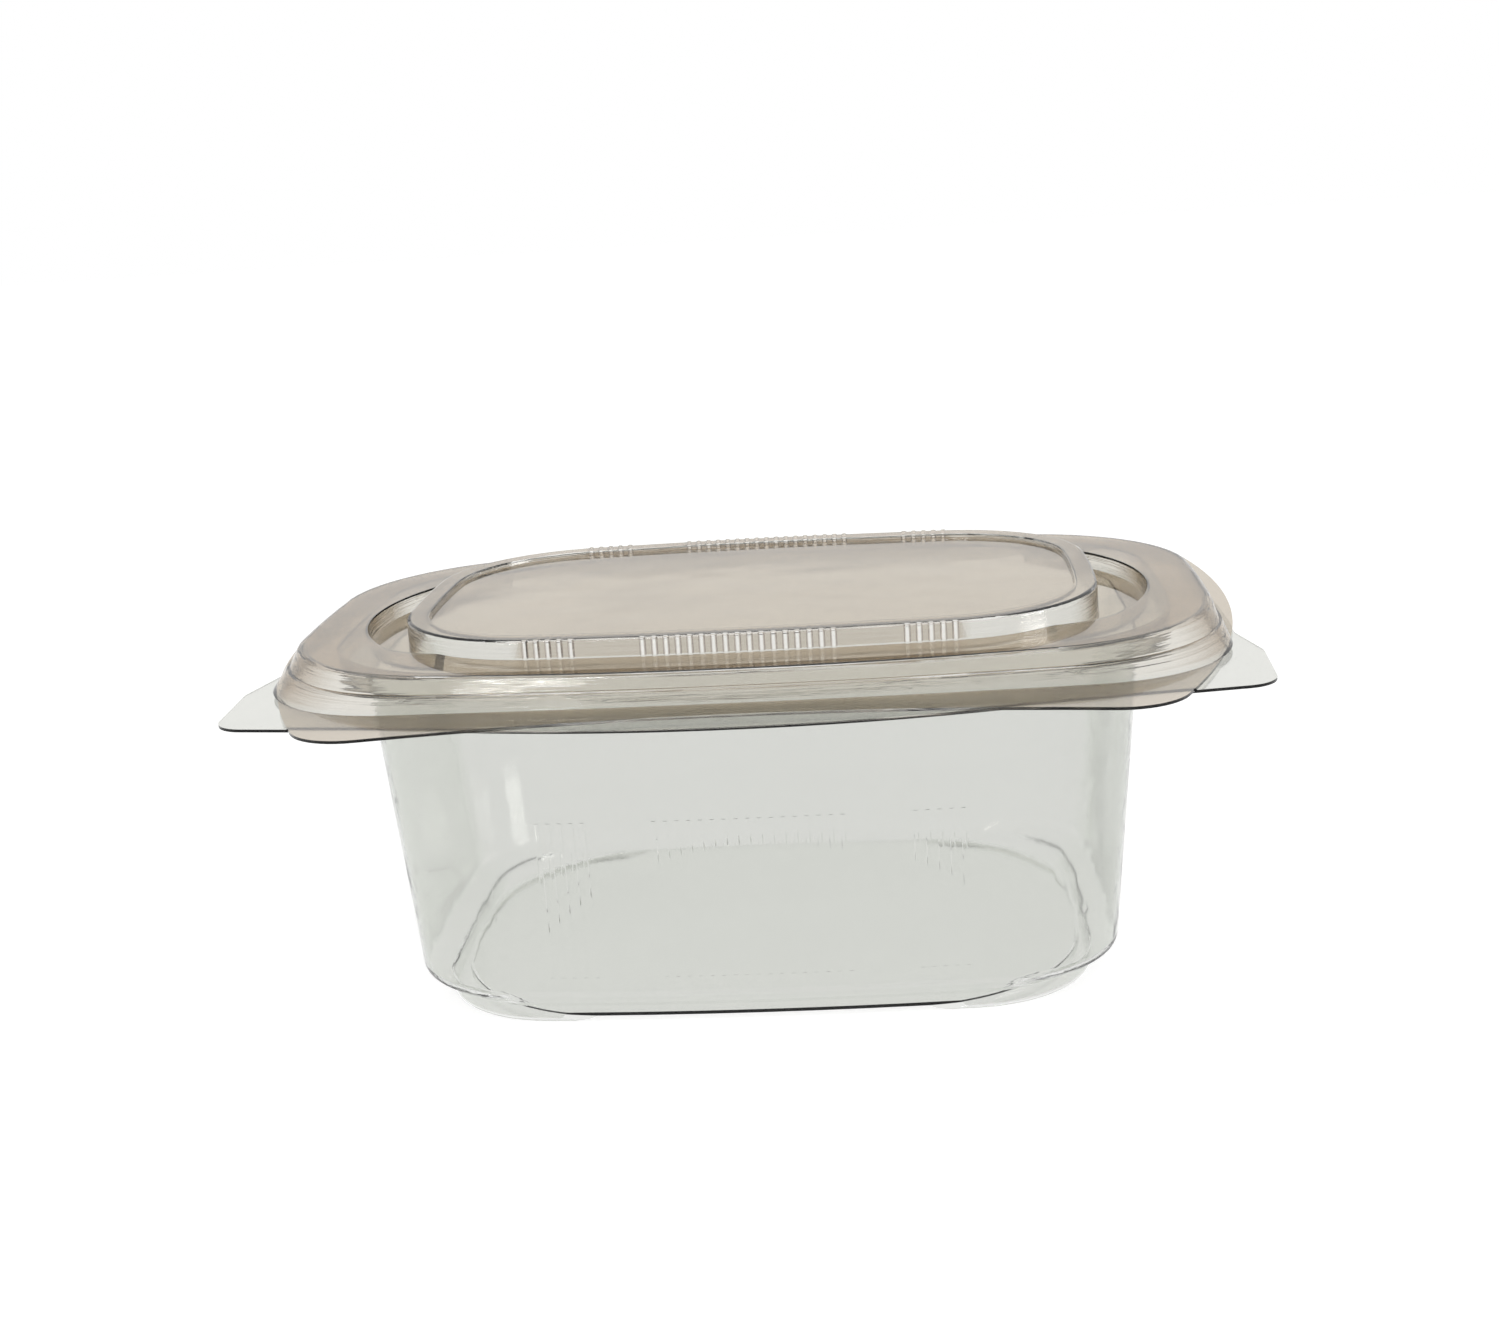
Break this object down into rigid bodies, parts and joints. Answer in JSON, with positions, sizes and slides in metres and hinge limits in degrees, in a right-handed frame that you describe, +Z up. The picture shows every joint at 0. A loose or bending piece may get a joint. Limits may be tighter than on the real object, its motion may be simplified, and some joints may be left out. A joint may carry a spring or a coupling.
{
  "type": "plastic clamshell pack",
  "caption": "Clear thermoformed food pack: drafted tub on crescent corner feet, bowed flange with corner tabs, and a hinged snap lid with ribbed plateau and end pockets.",
  "frame": {"origin": "under the middle of the closed pack's plan, fold included, on the surface the feet stand on", "axes": "+Z up, -Y towards the opening side, +Y towards the fold, +X along the fold"},
  "size_m": [0.1752, 0.1288, 0.0693],
  "materials": {
    "clear_sheet": "clear gloss, faint grey-green tint"
  },
  "bodies": {
    "base": {"base_tray": "clear_sheet"},
    "lid": {"hinged_lid": "clear_sheet"}
  },
  "joints": [
    {"name": "lid_hinge", "type": "hinge", "parent": "base", "child": "lid", "pos_m": [0, 0.06441, 0.06015], "axis": [-1, 0, 0], "range_deg": [0, 180]}
  ]
}
